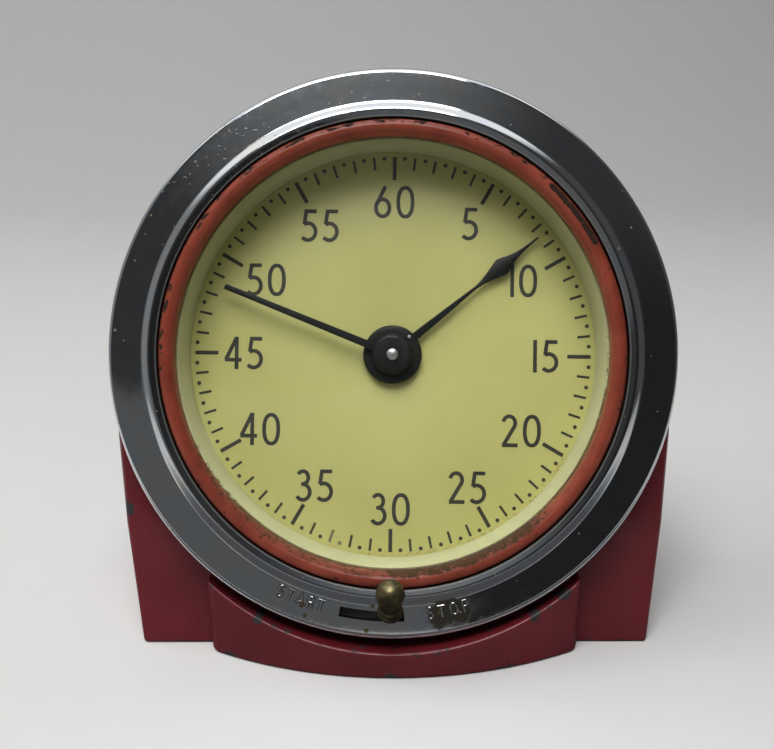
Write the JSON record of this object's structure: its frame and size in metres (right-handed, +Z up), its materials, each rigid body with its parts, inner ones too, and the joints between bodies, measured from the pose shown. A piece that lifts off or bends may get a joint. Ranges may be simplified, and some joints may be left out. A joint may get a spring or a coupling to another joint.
{
  "type": "darkroom timer",
  "caption": "Wind-up darkroom timer: tilted round dial with sweep and arrow hands in a chromed bezel, start and stop lever, red metal case with a flat base.",
  "frame": {"origin": "on the table plane, in the base plate's underside, straight under the centre of the bezel's front", "axes": "+Z up, -Y out of the front of the timer, +X to the right as seen from the front"},
  "size_m": [0.1202, 0.0925, 0.1201],
  "materials": {
    "red_enamel": "glossy crimson enamel, chipped at edges",
    "ring_enamel": "orange-red enamel with dark chips",
    "chrome_plate": "polished chrome with fine pitting",
    "clear_glass": "flat clear glass",
    "dial_enamel": "yellowed cream enamel",
    "wall_enamel": "pale cream enamel",
    "black_paint": "semi-gloss black",
    "aged_brass": "tarnished brass",
    "base_black": "matt black",
    "movement_brass": "brushed brass",
    "bright_steel": "turned steel",
    "blue_spring_steel": "tempered spring steel"
  },
  "bodies": {
    "case": {"case_shell": "red_enamel", "base_plate": "base_black", "base_screws": "bright_steel", "back_cover": "red_enamel", "cover_screws": "bright_steel", "bezel": "chrome_plate", "glass_ring": "ring_enamel", "glass": "clear_glass", "dial_spacer_ring": "wall_enamel", "dial": "dial_enamel", "front_plate": "movement_brass", "rear_plate": "movement_brass", "plate_pillars": "movement_brass", "pillar_screws": "bright_steel", "movement_screws": "bright_steel", "mainspring": "blue_spring_steel", "spring_post": "bright_steel", "hairspring": "blue_spring_steel", "hairspring_stud": "bright_steel"},
    "lever": {"start_stop_lever": "bright_steel", "lever_knob": "aged_brass"},
    "great": {"great_wheel": "movement_brass", "click_screw": "bright_steel", "click_spring": "blue_spring_steel"},
    "click": {"click": "bright_steel"},
    "winding": {"winding_arbor": "bright_steel", "ratchet_wheel": "bright_steel", "winding_key": "bright_steel"},
    "minute": {"minute_pipe": "movement_brass", "centre_wheel": "movement_brass", "set_wheel": "movement_brass", "minute_hand": "black_paint"},
    "seconds": {"seconds_arbor": "bright_steel", "fourth_wheel": "movement_brass", "sweep_hand": "black_paint"},
    "third": {"third_arbor": "bright_steel", "third_wheel": "movement_brass"},
    "escape": {"escape_arbor": "bright_steel", "escape_wheel": "movement_brass"},
    "pallet": {"pallet_arbor": "bright_steel", "pallet_lever": "bright_steel"},
    "balance": {"balance_staff": "bright_steel", "balance_wheel": "movement_brass"},
    "setting": {"set_arbor": "bright_steel", "set_arbor_wheel": "movement_brass", "set_knob": "aged_brass"}
  },
  "joints": [
    {"name": "sweep_turn", "type": "hinge", "parent": "case", "child": "seconds", "pos_m": [0, 0, 0.064], "axis": [0, 0.9397, -0.342], "continuous": true},
    {"name": "minute_turn", "type": "hinge", "parent": "case", "child": "minute", "pos_m": [0, 0, 0.064], "axis": [0, 0.9397, -0.342], "continuous": true},
    {"name": "third_turn", "type": "hinge", "parent": "case", "child": "third", "pos_m": [0.01849, 0.00295, 0.0721], "axis": [0, 0.9397, -0.342], "continuous": true},
    {"name": "escape_turn", "type": "hinge", "parent": "case", "child": "escape", "pos_m": [0.01273, -0.00519, 0.04975], "axis": [0, 0.9397, -0.342], "continuous": true},
    {"name": "great_turn", "type": "hinge", "parent": "case", "child": "great", "pos_m": [-0.02072, 0.00258, 0.07109], "axis": [0, 0.9397, -0.342], "continuous": true},
    {"name": "set_turn", "type": "hinge", "parent": "case", "child": "setting", "pos_m": [-0.01239, -0.00605, 0.04737], "axis": [0, 0.9397, -0.342], "continuous": true},
    {"name": "wind_turn", "type": "hinge", "parent": "great", "child": "winding", "pos_m": [-0.02072, 0.00258, 0.07109], "axis": [0, 0.9397, -0.342], "continuous": true},
    {"name": "click_lift", "type": "hinge", "parent": "great", "child": "click", "pos_m": [-0.02398, 0.00549, 0.07907], "axis": [0, -0.9397, 0.342], "range_deg": [0, 8], "stiffness_Nm_per_rad": 0.0001},
    {"name": "balance_swing", "type": "hinge", "parent": "case", "child": "balance", "pos_m": [-0.00401, -0.0106, 0.03488], "axis": [0, 0.9397, -0.342], "range_deg": [-120, 120], "stiffness_Nm_per_rad": 0.00002},
    {"name": "pallet_rock", "type": "hinge", "parent": "case", "child": "pallet", "pos_m": [0.00517, -0.00763, 0.04303], "axis": [0, 0.9397, -0.342], "range_deg": [-3, 3]},
    {"name": "lever_shift", "type": "hinge", "parent": "case", "child": "lever", "pos_m": [0, 0, 0.064], "axis": [0, 0.9397, -0.342], "range_deg": [0, 9.6]}
  ],
  "couplings": [
    {"joint": "minute_turn", "follows": "sweep_turn", "ratio": 0.016667},
    {"joint": "third_turn", "follows": "sweep_turn", "ratio": -0.125},
    {"joint": "escape_turn", "follows": "sweep_turn", "ratio": -8},
    {"joint": "great_turn", "follows": "sweep_turn", "ratio": -0.0027778},
    {"joint": "set_turn", "follows": "sweep_turn", "ratio": -0.016667}
  ]
}
